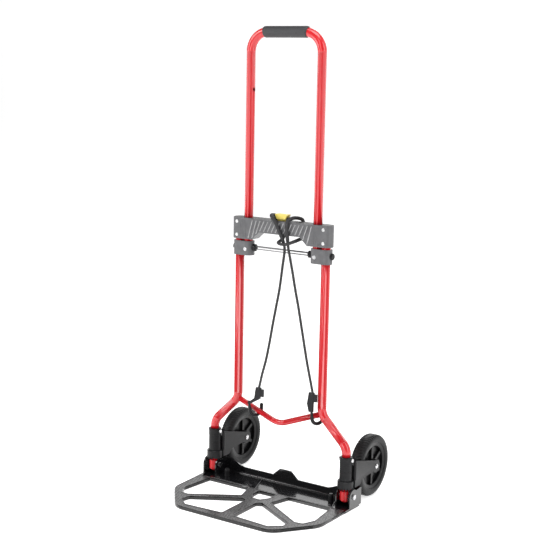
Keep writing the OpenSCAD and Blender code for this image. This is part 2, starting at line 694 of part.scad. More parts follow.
// Tyre section: flat tread with round shoulders
module tyre(s) color([0.1, 0.1, 0.1]) translate([s * stub_half, axle_y, wheel_r]) rotate([0, 90, 0])
    rotate_extrude($fn = 96) {
        h = tyre_w / 2;
        rounded([[tyre_inner_r, -h + 3], [wheel_r - 8, -h], [wheel_r, -h + 5], [wheel_r, h - 5],
            [wheel_r - 8, h], [tyre_inner_r, h - 3]], 2);
    }

module rim(s) color([0.14, 0.14, 0.15]) translate([s * stub_half, axle_y, wheel_r]) rotate([0, 90, 0])
    difference() {
    union() {
        rotate_extrude() polygon([[tyre_inner_r - 7, -10], [tyre_inner_r - 0.05, -12],
            [tyre_inner_r - 0.05, 12],
            [tyre_inner_r - 7, 10]]);
        cylinder(r = hub_r, h = 2 * hub_half - 3, center = true);
        cylinder(r = tyre_inner_r - 4, h = web_t, center = true);
        for (k = [0:spoke_count - 1]) rotate([0, 0, k * 360 / spoke_count])
            translate([hub_r - 2, -3.5, -8]) cube([tyre_inner_r - 2 - hub_r, 7, 16]);
    }
    cylinder(r = axle_d / 2 + 2.5 + snug, h = far, center = true);
}

// A flanged plastic bush in each end of the hub
module hub_bushes(s) color("whitesmoke") translate([s * stub_half, axle_y, wheel_r]) for (t = sides)
    difference() {
        union() {
            rod_x(axle_d / 2 + 2.5, t * 2, t * hub_half, 0, 0);
            rod_x(hub_r - 4, t * (hub_half - 1.45), t * hub_half, 0, 0);
        }
        rod_x(bush_bore_r, -far, far, 0, 0);
    }

// ---------- bungee cord ----------

// Rings of points joined into one closed tube
module swept(rings) {
    n = len(rings[0]);
    m = len(rings);
    polyhedron(points = [for (r = rings) each r], faces = concat(
        [[for (k = [0:n - 1]) n - 1 - k]],
        [for (i = [0:m - 2]) for (k = [0:n - 1]) each [
            [i * n + k, i * n + (k + 1) % n, (i + 1) * n + k],
            [i * n + (k + 1) % n, (i + 1) * n + (k + 1) % n, (i + 1) * n + k]]],
        [[for (k = [0:n - 1]) (m - 1) * n + k]]), convexity = 6);
}

// The cord's centreline: up from the left hook, round the bridge in a cow hitch, down to the right hook
cord_path = [[-43, -17.2, 235.5], [-43, -17.2, 241], [-35.5, -17.2, 273], [-26, -17.2, 307],
    [-18, -17.2, 345], [-10, -17.2, 389], [-2, -17.2, 430], [6, -17.2, 471], [13, -18, 520],
    [18, -18.5, 556], [17, -19, 570], [13, -19.6, 582], [5, -19.6, 597], [-3, -19.6, 612],
    [-10, -19, 622], [-18, -15.5, 628], [-24.5, -8, 631], [-26, 4, 630.5], [-26.5, 12, 628],
    [-26, 18.2, 623.6], [-24, 19.8, 615], [-18, 20, 603], [-12, 20, 594], [-7, 17.8, 586.5],
    [-3, 10, 583.5], [-1, 1, 580], [1, -9, 577], [2, -18, 575.5], [6, -25, 574], [16, -27, 572.5],
    [27, -25.5, 573.5], [35, -18, 577], [41, -8, 580.5], [45, 3, 583.5], [47, 12, 584.5],
    [47, 18.5, 588.5], [46, 20.4, 597], [43.5, 20.4, 609], [41, 20, 617], [39, 17.7, 624.3],
    [36, 8, 628], [31, -2, 629], [28, -11, 627.5], [25, -17.2, 624.2], [23.5, -19.8, 617.5],
    [23, -19.6, 605], [25, -19.6, 590], [26, -18.8, 577], [28, -18.5, 563], [33, -18, 540],
    [39, -17.2, 512], [47, -17.2, 475], [56, -17.2, 437], [64, -17.2, 399], [72, -17.2, 361],
    [80, -17.2, 323], [88, -17.2, 290], [97, -17.2, 253.5], [97, -17.2, 247.5]];
// Half thickness along the cord: fuller round the bridge, where it is slack
function cord_half(p) = p[2] > 560 && p[1] > -24 ? (p[2] > 578 ? wrap_r : (cord_r + wrap_r) / 2) : cord_r;

module bungee_cord() color([0.08, 0.08, 0.08]) {
    m = len(cord_path);
    tangents = [for (i = [0:m - 1]) unit(cord_path[min(i + 1, m - 1)] - cord_path[max(i - 1, 0)])];
    swept([for (i = [0:m - 1])
        let(p = cord_path[i], t = tangents[i], a = abs(t[0]) < 0.8 ? [1, 0, 0] : [0, 0, 1],
        u = unit(cross(t, a)), v = cross(t, u), h = cord_half(p))
        [for (k = [0:30:330]) p + h * (cos(k) * u + sin(k) * v)]]);
}

// A moulded hook: eye head, leaning shank, and a bend that goes under the brace and up behind it
module cord_hook(i) color([0.1, 0.1, 0.11]) {
    eye = hook_eye[i];
    x0 = hook_turn[i][0];
    z0 = hook_turn[i][1];
    across = hook_turn_r * [sin(hook_yaw[i]), cos(hook_yaw[i])];
    a = [x0 - across[0], -across[1], z0];
    b = [x0 + across[0], across[1], z0];
    difference() {
        union() {
            slab_y(eye[1] - hook_half, eye[1] + hook_half) polygon([[eye[0] - 12, eye[2] - 20],
                [a[0] - 5, a[2] + 16], [a[0] + 5, a[2] + 16], [eye[0] + 3, eye[2] - 20],
                [eye[0] + 5, eye[2] + 6], [eye[0] - 8, eye[2] + 6]]);
            translate([eye[0] + 4, eye[1] - hook_half + 0.4, eye[2] - 14]) cube([8, 2 * hook_half - 0.8, 17]);
        }
        translate([eye[0], eye[1], eye[2] + 1]) cylinder(r = cord_r + 0.1, h = 20);
    }
    bar([a[0], eye[1] + 0.4, a[2] + 22], a, hook_half - 0.5, hook_r);
    translate(a) sphere(r = hook_r + 0.3);
    translate([x0, 0, z0]) rotate([0, 0, 90 - hook_yaw[i]]) rotate([90, 0, 0]) rotate([0, 0, 180])
        rotate_extrude(angle = 180) translate([hook_turn_r, 0]) circle(r = hook_r + swell);
    translate(b - [0, 0, run_in / 2]) cylinder(r = hook_r, h = hook_tip[i] + 1);
    translate(b + [0, 0, hook_tip[i]]) sphere(r = hook_r + 0.4);
}

// A round bar from p to q that grows from radius r0 to r1
module bar(p, q, r0, r1) {
    d = q - p;
    translate(p) rotate([0, acos(d[2] / norm(d)), atan2(d[1], d[0])]) cylinder(r1 = r0, r2 = r1, h = norm(d));
}

// ---------- nodes ----------

lower_tube(-1);  // lower_tube_left
lower_tube(1);  // lower_tube_right
cross_brace();
end_plug(-1);  // end_plug_left
end_plug(1);  // end_plug_right
stop_collar(-1);  // stop_collar_left
stop_collar(1);  // stop_collar_right
collar_bolts();
pivot_bolt(-1);  // pivot_bolt_left
pivot_bolt(1);  // pivot_bolt_right
color([0.5, 0.5, 0.5]) bridge_shell(-1);  // bridge_front_shell
color([0.4, 0.4, 0.4]) bridge_shell(1);  // bridge_back_shell
bridge_rivets();
button_guide();
button_spring();
push_button();
lock_pin(-1);  // lock_pin_left
lock_pin(1);  // lock_pin_right
handle_tube();
grip();
slider(-1);  // slider_left
slider(1);  // slider_right
slider_screws();
color([0.2, 0.2, 0.2]) tie_rod(1);  // tie_rod_upper
color("silver") tie_rod(-1);  // tie_rod_lower
rod_bushes();
slider_caps();
toe_beam();
toe_plate();
toe_plate_screws();
beam_posts();
toe_gear(-1);  // toe_gear_left
toe_gear(1);  // toe_gear_right
fork(-1);  // fork_left
fork(1);  // fork_right
fork_gear(-1);  // fork_gear_left
fork_gear(1);  // fork_gear_right
axle_bolt(-1);  // axle_bolt_left
axle_bolt(1);  // axle_bolt_right
axle_nut(-1);  // axle_nut_left
axle_nut(1);  // axle_nut_right
tyre(-1);  // tyre_left
tyre(1);  // tyre_right
rim(-1);  // rim_left
rim(1);  // rim_right
hub_bushes(-1);  // hub_bushes_left
hub_bushes(1);  // hub_bushes_right
cord_hook(0);  // cord_hook_left
cord_hook(1);  // cord_hook_right
bungee_cord();
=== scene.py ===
"""A folding hand truck with a telescopic tube handle, standing on a pale floor."""

import math

import bmesh
import bpy
import numpy as np
from mathutils import Matrix, Vector
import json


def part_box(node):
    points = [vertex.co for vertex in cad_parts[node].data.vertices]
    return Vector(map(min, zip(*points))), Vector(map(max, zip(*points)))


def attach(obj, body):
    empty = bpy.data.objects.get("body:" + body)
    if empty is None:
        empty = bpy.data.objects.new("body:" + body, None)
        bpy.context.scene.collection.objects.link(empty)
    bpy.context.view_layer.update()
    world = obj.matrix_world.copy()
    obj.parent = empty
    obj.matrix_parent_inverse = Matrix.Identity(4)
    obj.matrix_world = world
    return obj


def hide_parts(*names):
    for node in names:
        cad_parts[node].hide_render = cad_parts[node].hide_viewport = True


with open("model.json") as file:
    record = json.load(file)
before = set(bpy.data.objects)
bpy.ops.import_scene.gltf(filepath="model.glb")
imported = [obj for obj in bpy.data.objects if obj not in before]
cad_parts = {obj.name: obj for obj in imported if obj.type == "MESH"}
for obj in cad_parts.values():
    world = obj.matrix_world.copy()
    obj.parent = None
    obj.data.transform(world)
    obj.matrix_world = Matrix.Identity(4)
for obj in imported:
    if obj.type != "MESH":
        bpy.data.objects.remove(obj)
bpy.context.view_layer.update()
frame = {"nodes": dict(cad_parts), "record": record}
nodes = frame["nodes"]

# ---------------------------------------------------------------- camera
# A standing viewer in front of the truck and to its right, looking slightly down.
azimuth, elevation, roll = math.radians(32.88), math.radians(10.33), math.radians(1.13)
forward = Vector((-math.sin(azimuth) * math.cos(elevation), math.cos(azimuth) * math.cos(elevation),
    -math.sin(elevation)))
level = Vector((math.cos(azimuth), math.sin(azimuth), 0))
right = math.cos(roll) * level + math.sin(roll) * level.cross(forward)
up = right.cross(forward)
camera = bpy.data.objects.new("camera", bpy.data.cameras.new("camera"))
camera.data.lens = 75.73
camera.data.sensor_width = 36
camera.data.clip_end = 50
camera_place = (1.3838, -2.1471, 0.9540)
turned = Matrix((right, up, -forward)).transposed().to_4x4()
camera.matrix_world = Matrix.Translation(camera_place) @ turned
bpy.context.collection.objects.link(camera)
bpy.context.scene.camera = camera

# ---------------------------------------------------------------- bungee cord
# Elastic cord in a woven cover. It hangs from the bridge in a cow hitch: two legs run down to the hooks,
# and the doubled middle passes over the bridge, round behind it and back out under the arch.


def mesh_object(name, verts, faces, smooth=True, uv=None):
    """An object of the given points and quads; uv holds one pair for each corner of each face."""
    mesh = bpy.data.meshes.new(name)
    mesh.from_pydata(np.asarray(verts, float).reshape(-1, 3).tolist(), [], np.asarray(faces).tolist())
    mesh.polygons.foreach_set("use_smooth", [smooth] * len(mesh.polygons))
    if uv is not None:
        mesh.uv_layers.new(name="UV").data.foreach_set("uv", np.asarray(uv, np.float32).ravel())
    mesh.update()
    obj = bpy.data.objects.new(name, mesh)
    bpy.context.collection.objects.link(obj)
    return obj


def grid_faces(rows, cols, wrap_rows=False, wrap_cols=False):
    """Quads over a grid of rows x cols points numbered row by row, and each corner's (row, col)."""
    r, c = np.meshgrid(np.arange(rows - (not wrap_rows)), np.arange(cols - (not wrap_cols)), indexing="ij")
    steps = ((0, 0), (0, 1), (1, 1), (1, 0))
    corners = np.stack([np.stack([r + a, c + b], -1) for a, b in steps], -2).reshape(-1, 4, 2)
    return (corners[..., 0] % rows) * cols + corners[..., 1] % cols, corners


def spline(points, per_span):
    """A smooth line through points: p(t) is the Catmull-Rom cubic of each span's four neighbours."""
    p = np.asarray(points, float)
    p = np.vstack([2 * p[0] - p[1], p, 2 * p[-1] - p[-2]])
    t = np.linspace(0, 1, per_span, endpoint=False)[:, None, None]
    a, b, c, d = p[:-3], p[1:-2], p[2:-1], p[3:]
    line = 0.5 * (2 * b + (c - a) * t + (2 * a - 5 * b + 4 * c - d) * t**2 + (3 * b - a - 3 * c + d) * t**3)
    return np.vstack([line.transpose(1, 0, 2).reshape(-1, p.shape[1]), p[-2]])


def tube(name, line, radius, sides, capped=True):
    """A tube about a line of points: ring i is line[i] + radius[i] (cos k u + sin k v), u and v carried along
    without twist. UV is (turn, distance along)."""
    line = np.asarray(line, float)
    radius = np.broadcast_to(radius, len(line))
    tangent = np.gradient(line, axis=0)
    tangent /= np.linalg.norm(tangent, axis=1)[:, None]
    u = np.zeros_like(line)
    first = np.cross(tangent[0], (0, 0, 1) if abs(tangent[0][2]) < 0.9 else (0, 1, 0))
    u[0] = first / np.linalg.norm(first)
    for i in range(1, len(line)):
        w = u[i - 1] - tangent[i] * (u[i - 1] @ tangent[i])
        u[i] = w / np.linalg.norm(w)
    v = np.cross(tangent, u)
    k = np.linspace(0, 2 * np.pi, sides, endpoint=False)
    cos_k, sin_k = np.cos(k)[None, :, None], np.sin(k)[None, :, None]
    rings = line[:, None] + radius[:, None, None] * (cos_k * u[:, None] + sin_k * v[:, None])
    faces, corners = grid_faces(len(line), sides, wrap_cols=True)
    run = np.concatenate([[0], np.cumsum(np.linalg.norm(np.diff(line, axis=0), axis=1))])
    uv = np.stack([corners[..., 1] / sides, run[corners[..., 0]]], -1)
    obj = mesh_object(name, rings, faces, uv=uv)
    if capped:
        bm = bmesh.new()
        bm.from_mesh(obj.data)
        bmesh.ops.holes_fill(bm, edges=[e for e in bm.edges if e.is_boundary])
        bmesh.ops.recalc_face_normals(bm, faces=bm.faces)
        bm.to_mesh(obj.data)
        bm.free()
    return obj


cord_points = [(-43, -17.2, 235.5), (-43, -17.2, 241), (-35.5, -17.2, 273), (-26, -17.2, 307),
    (-18, -17.2, 345), (-10, -17.2, 389), (-2, -17.2, 430), (6, -17.2, 471), (13, -18, 520),
    (18, -18.5, 556), (17, -19, 570), (13, -19.6, 582), (5, -19.6, 597), (-3, -19.6, 612),
    (-10, -19, 622), (-18, -15.5, 628), (-24.5, -8, 631), (-26, 4, 630.5), (-26.5, 12, 628),
    (-26, 18.2, 623.6), (-24, 19.8, 615), (-18, 20, 603), (-12, 20, 594), (-7, 17.8, 586.5),
    (-3, 10, 583.5), (-1, 1, 580), (1, -9, 577), (2, -18, 575.5), (6, -25, 574), (16, -27, 572.5),
    (27, -25.5, 573.5), (35, -18, 577), (41, -8, 580.5), (45, 3, 583.5), (47, 12, 584.5),
    (47, 18.5, 588.5), (46, 20.4, 597), (43.5, 20.4, 609), (41, 20, 617), (39, 17.7, 624.3), (36, 8, 628),
    (31, -2, 629), (28, -11, 627.5), (25, -17.2, 624.2), (23.5, -19.8, 617.5), (23, -19.6, 605),
    (25, -19.6, 590), (26, -18.8, 577), (28, -18.5, 563), (33, -18, 540), (39, -17.2, 512),
    (47, -17.2, 475), (56, -17.2, 437), (64, -17.2, 399), (72, -17.2, 361), (80, -17.2, 323),
    (88, -17.2, 290), (97, -17.2, 253.5), (97, -17.2, 247.5)]
cord_line = spline(np.array(cord_points) / 1000, 8)
on_bridge = np.clip((cord_line[:, 2] - 0.566) / 0.016, 0, 1)
cord = tube("bungee", cord_line, 0.0029 + 0.0011 * on_bridge, 16)
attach(cord, "frame")
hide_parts("bungee_cord")


def material(name, color, rough, metal=0.0, mottle=0.06, scale=60.0, bump=0.0, bump_scale=900.0, coat=0.0,
        rough_swing=0.08, specular=0.5):
    """Principled surface: colour mixed between two shades by noise, roughness swung by a second noise, and a
    fine noise bump. Coordinates are the object's own, in metres."""
    mat = bpy.data.materials.new(name)
    mat.use_nodes = True
    tree = mat.node_tree
    tree.nodes.clear()
    add, link = tree.nodes.new, tree.links.new
    out, shader = add("ShaderNodeOutputMaterial"), add("ShaderNodeBsdfPrincipled")
    place = add("ShaderNodeTexCoord")
    broad, fine = add("ShaderNodeTexNoise"), add("ShaderNodeTexNoise")
    ramp, swing = add("ShaderNodeValToRGB"), add("ShaderNodeMapRange")
    link(place.outputs["Object"], broad.inputs["Vector"])
    link(place.outputs["Object"], fine.inputs["Vector"])
    broad.inputs["Scale"].default_value = scale
    broad.inputs["Detail"].default_value = 5
    fine.inputs["Scale"].default_value = bump_scale
    fine.inputs["Detail"].default_value = 2
    ramp.color_ramp.elements[0].position, ramp.color_ramp.elements[1].position = 0.3, 0.7
    ramp.color_ramp.elements[0].color = [c * (1 - mottle) for c in color] + [1]
    ramp.color_ramp.elements[1].color = [min(1, c * (1 + mottle)) for c in color] + [1]
    link(broad.outputs["Fac"], ramp.inputs["Fac"])
    link(ramp.outputs["Color"], shader.inputs["Base Color"])
    swing.inputs["To Min"].default_value = max(0.02, rough - rough_swing)
    swing.inputs["To Max"].default_value = min(1, rough + rough_swing)
    link(broad.outputs["Fac"], swing.inputs["Value"])
    link(swing.outputs["Result"], shader.inputs["Roughness"])
    shader.inputs["Metallic"].default_value = metal
    shader.inputs["Specular IOR Level"].default_value = specular
    shader.inputs["Coat Weight"].default_value = coat
    shader.inputs["Coat Roughness"].default_value = 0.06
    if bump:
        relief = add("ShaderNodeBump")
        relief.inputs["Strength"].default_value = bump
        relief.inputs["Distance"].default_value = 0.0004
        link(fine.outputs["Fac"], relief.inputs["Height"])
        link(relief.outputs["Normal"], shader.inputs["Normal"])
    link(shader.outputs["BSDF"], out.inputs["Surface"])
    return mat


# Woven cover: strands cross at a slant all round, so the relief is a product of two oblique waves.
cord_look = material("cord cover", (0.028, 0.028, 0.030), 0.72, mottle=0.25, scale=300)


def weave(mat, turns, pitch, depth):
    """Woven relief from the tube's own UV:
    height = sin(2 pi (turns u + v / pitch)) sin(2 pi (turns u - v / pitch))."""
    tree = mat.node_tree
    add, link = tree.nodes.new, tree.links.new
    shader = next(n for n in tree.nodes if n.type == "BSDF_PRINCIPLED")
    place, split = add("ShaderNodeUVMap"), add("ShaderNodeSeparateXYZ")
    link(place.outputs["UV"], split.inputs["Vector"])
    around, along, height = (add("ShaderNodeMath") for k in range(3))
    around.operation = along.operation = height.operation = "MULTIPLY"
    around.inputs[1].default_value = 2 * math.pi * turns
    along.inputs[1].default_value = 2 * math.pi / pitch
    link(split.outputs["X"], around.inputs[0])
    link(split.outputs["Y"], along.inputs[0])
    for k, operation in enumerate(("ADD", "SUBTRACT")):
        mix, wave = add("ShaderNodeMath"), add("ShaderNodeMath")
        mix.operation, wave.operation = operation, "SINE"
        link(around.outputs[0], mix.inputs[0])
        link(along.outputs[0], mix.inputs[1])
        link(mix.outputs[0], wave.inputs[0])
        link(wave.outputs[0], height.inputs[k])
    relief = add("ShaderNodeBump")
    relief.inputs["Strength"].default_value = 0.8
    relief.inputs["Distance"].default_value = depth
    link(height.outputs[0], relief.inputs["Height"])
    link(relief.outputs["Normal"], shader.inputs["Normal"])


weave(cord_look, 6, 0.003, 0.0003)
cord.data.materials.append(cord_look)

# ---------------------------------------------------------------- steel tubes
# The two lower tubes, the brace welded between them, and the handle are bent steel tube under a glossy
# red powder coat.
red_coat = material("red powder coat", (0.60, 0.008, 0.014), 0.26, mottle=0.03, coat=0.8, rough_swing=0.02)


def dress(look, *names):
    """Gives the named CAD nodes a finish."""
    for name in names:
        nodes[name].data.materials.clear()
        nodes[name].data.materials.append(look)


def pair(name):
    """The names of a left and a right node."""
    return name + "_left", name + "_right"


def arc(centre, radius, a0, a1, steps=16):
    """Points of an arc in the XZ plane, centre + radius (cos a, sin a), from angle a0 to a1 in degrees."""
    a = np.radians(np.linspace(a0, a1, steps))
    return np.stack([centre[0] + radius * np.cos(a), 0 * a, centre[1] + radius * np.sin(a)], -1)


def smooth(name, look):
    """A copy of a CAD node whose loose triangles are merged, so that its round faces shade smoothly."""
    bm = bmesh.new()
    bm.from_mesh(nodes[name].data)
    bmesh.ops.remove_doubles(bm, verts=bm.verts, dist=2e-6)
    mesh = bpy.data.meshes.new(name + "_smooth")
    bm.to_mesh(mesh)
    bm.free()
    mesh.polygons.foreach_set("use_smooth", [True] * len(mesh.polygons))
    mesh.set_sharp_from_angle(angle=math.radians(30))
    mesh.materials.append(look)
    piece = bpy.data.objects.new(name + "_smooth", mesh)
    bpy.context.collection.objects.link(piece)
    return piece


cad_bodies = {node: body for body, names in frame["record"]["behaviour"]["bodies"].items() for node in names}


def stand_for(piece, node):
    """The piece rides on a CAD node's body and replaces the node."""
    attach(piece, cad_bodies[node])
    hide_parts(node)


for node in (*pair("lower_tube"), "cross_brace", "handle_tube"):
    stand_for(smooth(node, red_coat), node)

# ---------------------------------------------------------------- tube feet
# Red moulded plugs close the feet of the lower tubes and carry the pivot bolts. Black moulded collars,
# each held by a cross bolt, keep the forks on their tubes.
red_plastic = material("red plastic", (0.66, 0.012, 0.018), 0.32, bump=0.05)
black_trim = material("black trim", (0.009, 0.009, 0.010), 0.32, mottle=0.12, bump=0.15, specular=0.22)
zinc = material("zinc steel", (0.66, 0.66, 0.67), 0.26, metal=1.0, mottle=0.12, scale=200)


def soften(name, look, width):
    """A copy of a CAD node with its sharp edges rounded to the given width, as a mould or a file leaves them.
    Flat faces are joined first, so that only true edges are rounded."""
    bm = bmesh.new()
    bm.from_mesh(nodes[name].data)
    bmesh.ops.remove_doubles(bm, verts=bm.verts, dist=2e-6)
    bmesh.ops.dissolve_limit(bm, angle_limit=math.radians(0.6), verts=bm.verts, edges=bm.edges)
    mesh = bpy.data.meshes.new(name + "_soft")
    bm.to_mesh(mesh)
    bm.free()
    mesh.polygons.foreach_set("use_smooth", [True] * len(mesh.polygons))
    mesh.set_sharp_from_angle(angle=math.radians(28))
    mesh.materials.append(look)
    piece = bpy.data.objects.new(name + "_soft", mesh)
    bpy.context.collection.objects.link(piece)
    bevel = piece.modifiers.new("edges", "BEVEL")
    bevel.width = width
    bevel.segments = 2
    bevel.limit_method = "ANGLE"
    bevel.angle_limit = math.radians(28)
    bevel.harden_normals = True
    bevel.use_clamp_overlap = True
    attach(piece, cad_bodies[name])
    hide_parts(name)
    return piece


dress(red_plastic, *pair("end_plug"))
for name in pair("stop_collar"):
    soften(name, black_trim, 0.0006)
dress(zinc, "collar_bolts", *pair("pivot_bolt"))

# ---------------------------------------------------------------- bridge
# Two grey moulded shells riveted together round the tops of the lower tubes. The handle slides through
# them. Slanted ribs stiffen the arch, and upright flutes stand beside each tube.
grey_plastic = material("grey moulding", (0.105, 0.105, 0.110), 0.38, mottle=0.14, scale=90, bump=0.3,
    bump_scale=1100)
# The ribs are painted a light grey: a painted highlight on their edges, not a colour of the moulding.
rib_highlight_plastic = material("painted highlight rib", (0.34, 0.34, 0.345), 0.42, mottle=0.20, scale=150, bump=0.2)
def grain_and_painted_top_tone(mat, color, rough):
    """Faces that look up get a speckled grain and a tone of their own. The tone is painted light: a darker or
    lighter top that stands in for how light falls on it. The weight is the object's own normal z above 0.7,
    and the speckle is a fine noise between two shades."""
    tree = mat.node_tree
    add, link = tree.nodes.new, tree.links.new
    shader = next(n for n in tree.nodes if n.type == "BSDF_PRINCIPLED")
    place = next(n for n in tree.nodes if n.type == "TEX_COORD")
    split, above, speckle, ramp, mix, gloss = (add("ShaderNode" + kind) for kind in
        ("SeparateXYZ", "MapRange", "TexNoise", "ValToRGB", "Mix", "Mix"))
    link(place.outputs["Normal"], split.inputs["Vector"])
    link(split.outputs["Z"], above.inputs["Value"])
    above.inputs["From Min"].default_value, above.inputs["From Max"].default_value = 0.6, 0.9
    link(place.outputs["Object"], speckle.inputs["Vector"])
    speckle.inputs["Scale"].default_value = 260
    speckle.inputs["Detail"].default_value = 3
    ramp.color_ramp.elements[0].position, ramp.color_ramp.elements[1].position = 0.40, 0.66
    ramp.color_ramp.elements[0].color = [c * 0.10 for c in color] + [1]
    ramp.color_ramp.elements[1].color = [c * 1.9 for c in color] + [1]
    link(speckle.outputs["Fac"], ramp.inputs["Fac"])
    mix.data_type = "RGBA"
    old = shader.inputs["Base Color"].links[0].from_socket
    link(above.outputs["Result"], mix.inputs["Factor"])
    link(old, mix.inputs[6])
    link(ramp.outputs["Color"], mix.inputs[7])
    link(mix.outputs[2], shader.inputs["Base Color"])
    gloss.data_type = "FLOAT"
    old = shader.inputs["Roughness"].links[0].from_socket
    link(above.outputs["Result"], gloss.inputs["Factor"])
    link(old, gloss.inputs[2])
    gloss.inputs[3].default_value = rough
    link(gloss.outputs[0], shader.inputs["Roughness"])


bridge_look = material("bridge moulding", (0.105, 0.105, 0.110), 0.38, mottle=0.14, scale=90, bump=0.3,
    bump_scale=1100)
# The shells' up-facing faces are painted near black: painted shade on the tops, with a speckled grain.
grain_and_painted_top_tone(bridge_look, (0.016, 0.016, 0.017), 0.45)
for name in ("bridge_front_shell", "bridge_back_shell"):
    soften(name, bridge_look, 0.0006)
bridge_low, bridge_high = (np.array(corner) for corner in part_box("bridge_front_shell"))


def bars(name, ends, width, height, out):
    """Low bars of half-round section between pairs of points on a face that looks along out: section k is
    width / 2 cos k along the face and height sin k outward. ends is (bars, 2, 3)."""
    ends = np.asarray(ends, float)
    out = np.asarray(out, float)
    run = ends[:, 1] - ends[:, 0]
    run /= np.linalg.norm(run, axis=1)[:, None]
    side = np.cross(run, out)
    turn = np.linspace(0, 2 * np.pi, 12, endpoint=False)
    lift = np.where(np.sin(turn) > 0, np.sin(turn) * height, np.sin(turn) * 0.0004)
    section = width / 2 * np.cos(turn)[None, :, None] * side[:, None] + lift[None, :, None] * out
    stations = np.array([0, 0.02, 0.98, 1])
    swell = np.array([0.55, 1, 1, 0.55])
    verts = ends[:, :1, None] + (ends[:, 1] - ends[:, 0])[:, None, None] * stations[None, :, None, None]
    verts = verts.reshape(len(ends), 4, 1, 3) + section[:, None] * swell[None, :, None, None]
    faces, corners = grid_faces(4, 12, wrap_cols=True)
    every = np.concatenate([faces + 48 * k for k in range(len(ends))])
    piece = mesh_object(name, verts, every)
    bm = bmesh.new()
    bm.from_mesh(piece.data)
    bmesh.ops.holes_fill(bm, edges=[e for e in bm.edges if e.is_boundary])
    bmesh.ops.recalc_face_normals(bm, faces=bm.faces)
    bm.to_mesh(piece.data)
    bm.free()
    return piece


for facing, face_y in ((-1, -0.015), (1, 0.015)):
    foot, top = bridge_low[2], bridge_high[2]
    slanted = []
    for x in np.arange(-0.0765, 0.0766, 0.0102):
        arch = 0.0175 * np.clip((0.072 - abs(x - 0.0045)) / 0.019, 0, 1)
        slanted.append([(x - 0.0045, face_y, foot + arch + 0.003), (x + 0.0065, face_y, top - 0.004)])
    ribs = bars("slanted_ribs_%d" % facing, slanted, 0.0024, 0.0009, (0, facing, 0))
    flutes = [[(s * x, face_y, foot + 0.004), (s * x, face_y, top - 0.004)]
        for s in (-1, 1) for x in (0.0885, 0.0935, 0.0985, 0.1035)]
    upright = bars("upright_flutes_%d" % facing, flutes, 0.0022, 0.0006, (0, facing, 0))
    ribs.data.materials.append(rib_highlight_plastic)
    upright.data.materials.append(grey_plastic)
    for piece in (ribs, upright):
        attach(piece, "frame")
dress(material("rivet steel", (0.80, 0.80, 0.80), 0.32, metal=0.9, mottle=0.05), "bridge_rivets")
soften("button_guide", black_trim, 0.0003)

# ---------------------------------------------------------------- release
# The yellow button is moulded with its stem. Its slots draw the two steel lock pins inward, and a wire
# spring lifts it again.
soften("push_button", material("yellow plastic", (0.86, 0.70, 0.16), 0.34, mottle=0.05, bump=0.05), 0.0009)
dress(zinc, *pair("lock_pin"), "button_spring")

# ---------------------------------------------------------------- grip
# A dark foam sleeve round the top of the handle, with rounded ends, that reaches a little way down the
# bends.
grip_look = material("grip foam", (0.030, 0.030, 0.033), 0.50, mottle=0.25, scale=400, bump=0.5,
    bump_scale=1500)
grip_low, grip_high = (np.array(corner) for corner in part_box("grip"))
grip_r = (grip_high[1] - grip_low[1]) / 2 - 0.0001
handle_top = grip_high[2] - grip_r
bend_r, bend_x = 0.042, 0.048
wrap = math.radians(10)


def grip_line(count):
    """Centreline of the sleeve: straight along the top, then an arc of the handle's bend at each end. The
    parameter is length from the middle."""
    half = bend_x + bend_r * wrap
    lip = 0.006
    run = np.concatenate([np.linspace(-half, -half + lip, 9)[:-1],
        np.linspace(-half + lip, half - lip, count), np.linspace(half - lip, half, 9)[1:]])
    beyond = np.clip(np.abs(run) - bend_x, 0, None) / bend_r
    x = np.sign(run) * (np.minimum(np.abs(run), bend_x) + bend_r * np.sin(beyond))
    z = handle_top - bend_r * (1 - np.cos(beyond))
    return np.stack([x, 0 * x, z], -1), run, half


grip_points, grip_run, grip_half = grip_line(60)
to_end = grip_half - np.abs(grip_run)
grip_radius = grip_r - 0.0018 * (1 - np.sqrt(np.clip(1 - (1 - np.clip(to_end / 0.004, 0, 1)) ** 2, 0, 1)))
grip_piece = tube("grip_sleeve", grip_points, grip_radius, 48)
grip_piece.data.materials.append(grip_look)
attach(grip_piece, "handle")
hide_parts("grip")

# ---------------------------------------------------------------- slider blocks
# Grey mouldings bolted to the feet of the handle slide on the lower tubes. Two steel rods tie them
# together through a bush on each side.
for name in pair("slider"):
    soften(name, grey_plastic, 0.0010)
soften("slider_caps", black_trim, 0.0006)
soften("rod_bushes", black_trim, 0.0004)
dress(zinc, "slider_screws")
dress(material("bright rod", (0.16, 0.16, 0.165), 0.30, metal=0.8, mottle=0.1, scale=200), "tie_rod_upper")
dress(material("grey rod", (0.30, 0.30, 0.31), 0.34, metal=0.8, mottle=0.1, scale=200), "tie_rod_lower")

# ---------------------------------------------------------------- toe beam
# Folded steel sheet under black gloss paint: a foot, a back flange with a raised tab, and a pair of ears
# at each end that hang on the pivot bolts.
black_gloss = material("black gloss steel", (0.006, 0.006, 0.007), 0.16, bump=0.10, bump_scale=500, coat=0.7)
soften("toe_beam", black_gloss, 0.0007)
soften("beam_posts", black_trim, 0.0006)
dress(material("blackened screw", (0.03, 0.03, 0.032), 0.30, metal=0.6), "toe_plate_screws")

# ---------------------------------------------------------------- toe plate
# One black moulding screwed under the beam. Walls stand round its five openings and along its rim, ribs
# cross its underside, and low rungs cross the bands between the walls. The tops have a speckled grain, and
# are painted a lighter grey that stands in for the light they reflect.
plate_top = np.array(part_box("toe_plate")[1])[2]
skin_top = plate_top - 0.0009
bed_top = 0.00435
outline = [(-197, 28.4), (-193, -132), (-124, -219), (124, -219), (193, -132), (197, 28.4)]
rear_hole = [(39, -87), (142, -151), (160, -148), (173, -120), (163, -33.6), (55, -33.6)]
front_hole = [(14, -197), (108, -203), (134, -182), (130, -160), (25, -100), (14, -107)]
middle_hole = [(-24, -40), (-22, -68), (-9, -86), (9, -86), (22, -68), (24, -40)]


